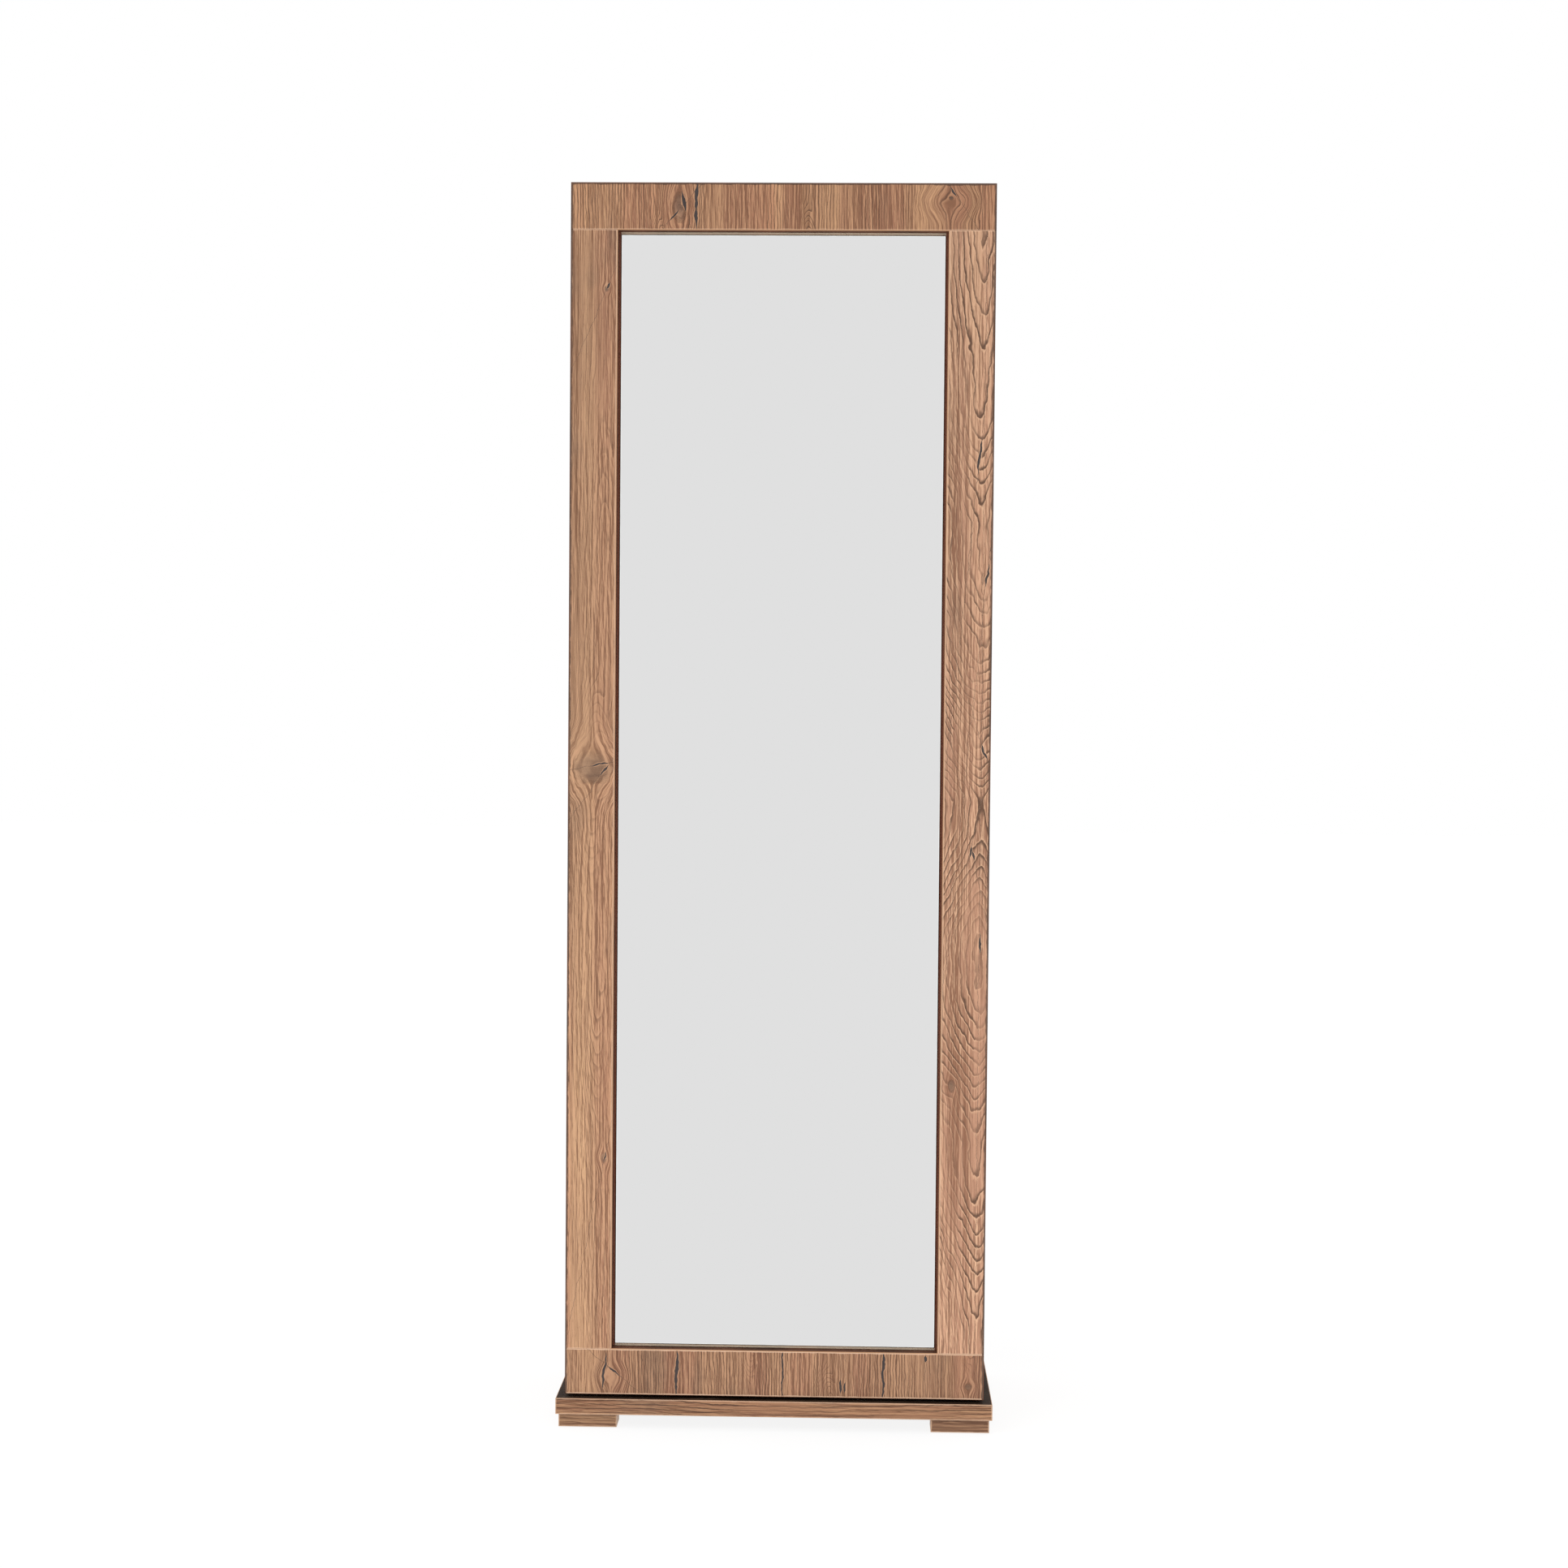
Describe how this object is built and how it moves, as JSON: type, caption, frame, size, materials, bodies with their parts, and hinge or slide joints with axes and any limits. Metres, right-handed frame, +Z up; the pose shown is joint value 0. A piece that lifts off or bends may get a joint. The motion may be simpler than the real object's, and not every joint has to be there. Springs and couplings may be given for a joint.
{
  "type": "swivelling floor mirror",
  "caption": "Full-length framed floor mirror that turns on a bearing in its low plinth, with an open shelf tower behind the glass.",
  "frame": {"origin": "on the floor, under the middle of the plinth, on the swivel axis", "axes": "+Z up along the height, +X along the width, the glass faces -Y and +Y is the back"},
  "size_m": [0.599, 0.322, 1.7],
  "materials": {
    "frame_wood": "knotty wood-decor foil, satin, grain upright",
    "plinth_wood": "knotty wood-decor foil, satin, grain along the width",
    "body_wood": "knotty wood-decor foil, satin",
    "edge_band": "edge band in the boards' decor, satin",
    "mirror": "silvered float glass, polished arris",
    "tape": "white foam tape",
    "zinc_steel": "zinc-plated steel",
    "plate_steel": "galvanised pressed steel",
    "plastic": "moulded brown plastic",
    "beech": "bare beech"
  },
  "bodies": {
    "base": {"plinth_board": "plinth_wood", "plinth_edge_band": "edge_band", "foot_front_left": "plinth_wood", "foot_front_right": "plinth_wood", "foot_back_left": "plinth_wood", "foot_back_right": "plinth_wood", "foot_glides": "plastic", "foot_screws": "zinc_steel", "turntable_base_plate": "plate_steel", "turntable_base_bolts": "zinc_steel", "pivot_bush": "zinc_steel"},
    "ball_ring": {"bearing_balls": "zinc_steel", "ball_retainer": "plastic"},
    "mirror_body": {"turntable_top_plate": "plate_steel", "turntable_top_bolts": "zinc_steel", "bottom_panel": "body_wood", "top_panel": "body_wood", "side_panel_left": "body_wood", "side_panel_right": "body_wood", "mirror_backing_panel": "body_wood", "body_edge_bands": "edge_band", "top_rail": "frame_wood", "bottom_rail": "frame_wood", "left_stile": "frame_wood", "right_stile": "frame_wood", "frame_outer_band": "edge_band", "frame_opening_band": "edge_band", "mirror_glass": "mirror", "mirror_tape": "tape", "shelf_1": "body_wood", "shelf_2": "body_wood", "shelf_3": "body_wood", "shelf_4": "body_wood", "shelf_5": "body_wood", "shelf_6": "body_wood", "shelf_7": "body_wood", "shelf_edge_bands": "edge_band", "shelf_pins": "zinc_steel", "panel_screws": "zinc_steel", "screw_caps": "plastic", "panel_dowels": "beech", "frame_dowels": "beech", "frame_screws": "zinc_steel"}
  },
  "joints": [
    {"name": "swivel", "type": "hinge", "parent": "base", "child": "mirror_body", "pos_m": [0, 0, 0.042], "axis": [0, 0, 1], "continuous": true},
    {"name": "ball_ring_turn", "type": "hinge", "parent": "base", "child": "ball_ring", "pos_m": [0, 0, 0.042], "axis": [0, 0, 1], "continuous": true}
  ],
  "couplings": [
    {"joint": "ball_ring_turn", "follows": "swivel", "ratio": 0.5}
  ]
}
